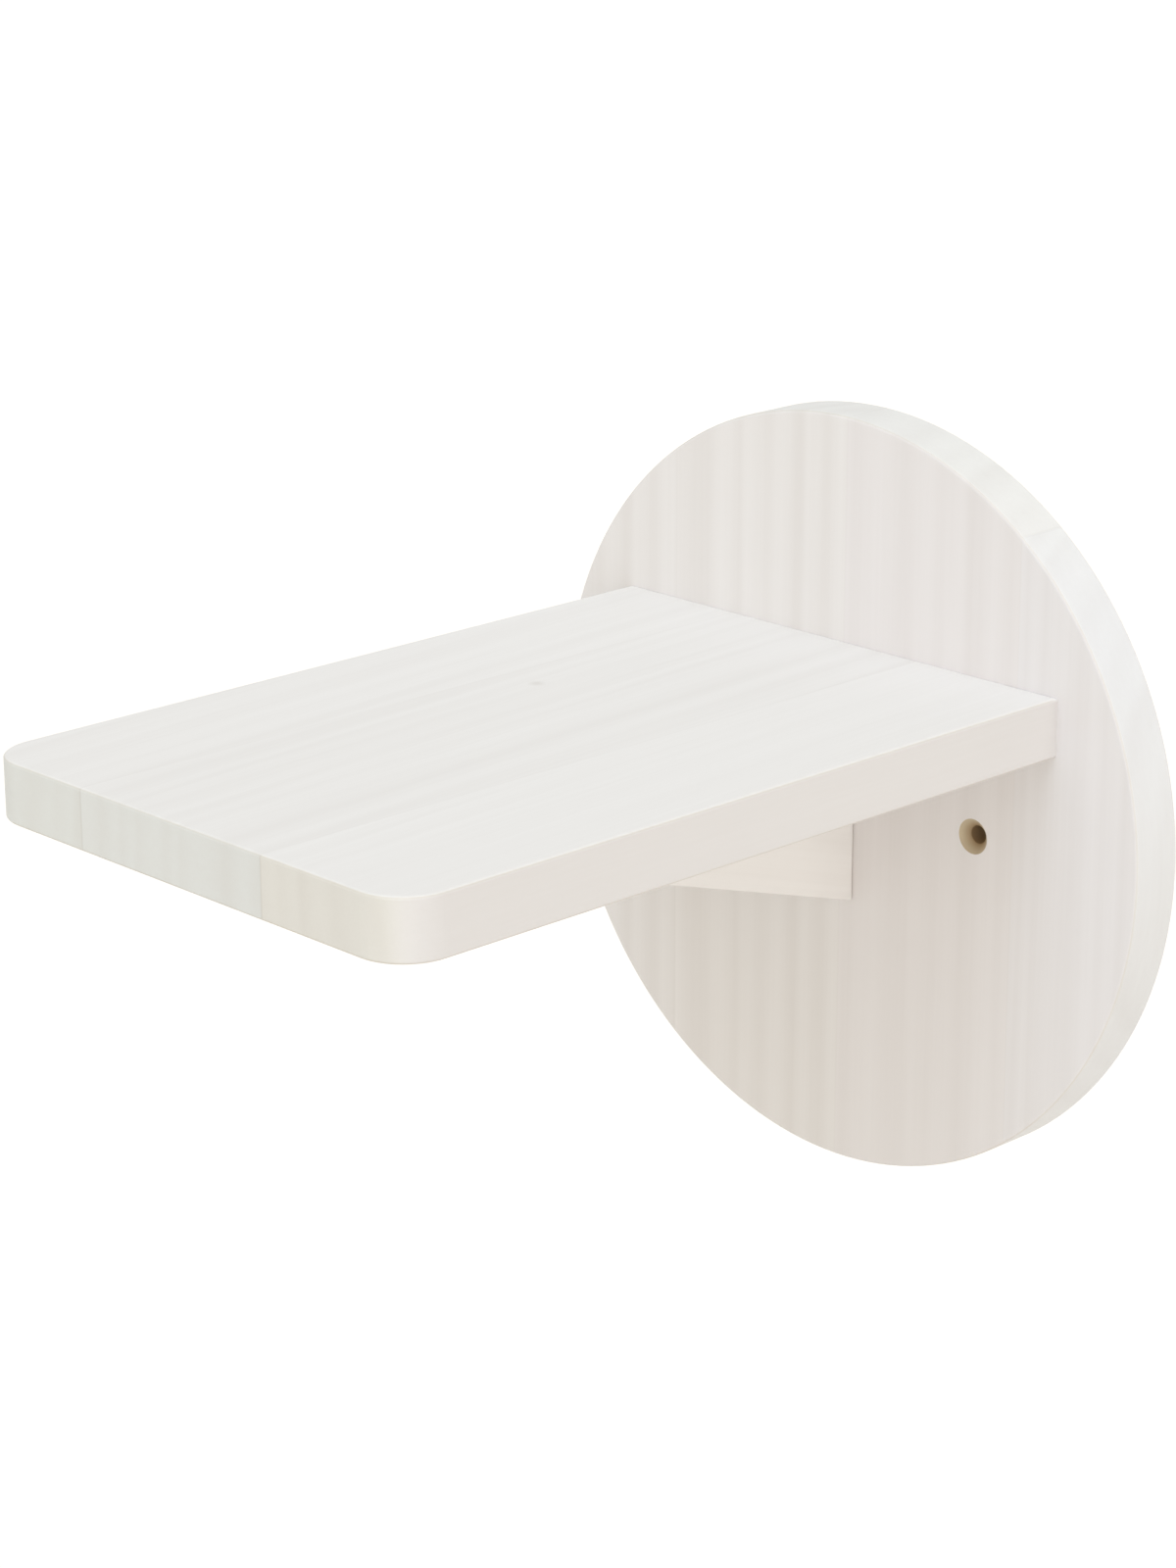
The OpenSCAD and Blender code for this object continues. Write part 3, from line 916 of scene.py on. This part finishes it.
class CATSHELF_OT_stage(bpy.types.Operator):
    """Set up the floor, the light and the camera"""

    bl_idname = "cat_shelf.stage"
    bl_label = "Stage"

    def execute(self, context):
        stage = context.scene.cat_shelf_stage
        context.scene.view_settings.view_transform = "Standard"
        self.light(context, stage)
        self.floor(context, stage)
        self.camera(context, stage)
        return {"FINISHED"}

    def light(self, context, stage):
        """A diffuser overhead, a high window, a softbox at the right and a reflector, in a white room."""
        world = bpy.data.worlds.new("white_room")
        world.use_nodes = True
        context.scene.world = world
        tree = world.node_tree
        tree.nodes.clear()
        walls = opaque(stage.room * channel for channel in stage.room_colour)
        shown = add(tree, "ShaderNodeMix", {
            0: seen_directly(tree), MIX_A: walls, MIX_B: WHITE}, out=MIX_RESULT, data_type="RGBA")
        room = add(tree, "ShaderNodeBackground", {"Color": shown})
        add(tree, "ShaderNodeOutputWorld", {"Surface": room})

        for name, (towards, spread) in LAMPS.items():
            turn = Vector(towards).to_track_quat("Z", "Y").to_euler()
            bpy.ops.object.light_add(type="SUN", rotation=turn)
            lamp = context.object
            lamp.name = name + "_light"
            lamp.data.energy = getattr(stage, name)
            lamp.data.color = getattr(stage, name + "_colour")
            lamp.data.angle = math.radians(spread)

    def floor(self, context, stage):
        """A pale studio floor that goes on to white and keeps the shelf's shadow."""
        bpy.ops.mesh.primitive_plane_add(size=stage.floor_size, location=(0, 0, -stage.floor_drop))
        floor = context.object
        floor.name = "floor"
        material, tree = new_material("white_studio_paper")
        paper = add(tree, "ShaderNodeBsdfDiffuse", {"Color": opaque(stage.floor_colour)})
        lift = add(tree, "ShaderNodeMath", {
            0: seen_directly(tree), 1: stage.floor_lift}, operation="MULTIPLY")
        glow = add(tree, "ShaderNodeEmission", {"Color": WHITE, "Strength": lift})
        surface = add(tree, "ShaderNodeAddShader", {0: paper, 1: glow})
        add(tree, "ShaderNodeOutputMaterial", {"Surface": surface})
        floor.data.materials.append(material)

    def camera(self, context, stage):
        """The camera where the photograph was taken from."""
        tilt = Matrix.Rotation(math.pi / 2 - stage.elevation, 4, "X")
        turn = Matrix.Rotation(stage.azimuth, 4, "Z") @ tilt @ Matrix.Rotation(stage.roll, 4, "Z")
        place = Vector(stage.target) + turn @ Vector((0, 0, stage.distance))
        bpy.ops.object.camera_add(location=place, rotation=turn.to_euler())
        camera = context.object
        camera.name = "photo_camera"
        camera.data.lens = stage.lens
        camera.data.sensor_width = stage.sensor
        context.scene.camera = camera


class CATSHELF_PT_pieces(bpy.types.Panel):
    """Lists the shelf's pieces and their settings"""

    bl_label = "Cat shelf"
    bl_idname = "CATSHELF_PT_pieces"
    bl_space_type = "VIEW_3D"
    bl_region_type = "UI"
    bl_category = "Cat shelf"

    def draw(self, context):
        for operator in OPERATORS:
            self.layout.operator(operator.bl_idname)
        for name, group in SETTINGS.items():
            box = self.layout.box()
            for setting in group.__annotations__:
                box.prop(getattr(context.scene, name), setting)


SETTINGS = {
    "cat_shelf_pine": PineSettings,
    "cat_shelf_fixings": FixingSettings,
    "cat_shelf_stage": StageSettings,
}
OPERATORS = (
    CATSHELF_OT_plate, CATSHELF_OT_step, CATSHELF_OT_brace,
    CATSHELF_OT_screws, CATSHELF_OT_dowels, CATSHELF_OT_stage,
)


def register():
    """Adds the settings, operators and panel to Blender."""
    for name, group in SETTINGS.items():
        bpy.utils.register_class(group)
        setattr(bpy.types.Scene, name, PointerProperty(type=group))
    for each in (*OPERATORS, CATSHELF_PT_pieces):
        bpy.utils.register_class(each)


def unregister():
    """Takes the panel, operators and settings out of Blender again."""
    for each in (CATSHELF_PT_pieces, *reversed(OPERATORS)):
        bpy.utils.unregister_class(each)
    for name, group in SETTINGS.items():
        delattr(bpy.types.Scene, name)
        bpy.utils.unregister_class(group)


def main():
    """Builds the pieces and the stage."""
    register()
    bpy.ops.object.select_all(action="DESELECT")
    bpy.ops.cat_shelf.plate()
    bpy.ops.cat_shelf.step()
    bpy.ops.cat_shelf.brace()
    bpy.ops.cat_shelf.screws()
    bpy.ops.cat_shelf.dowels()
    bpy.ops.cat_shelf.stage()


if __name__ == "__main__":
    main()
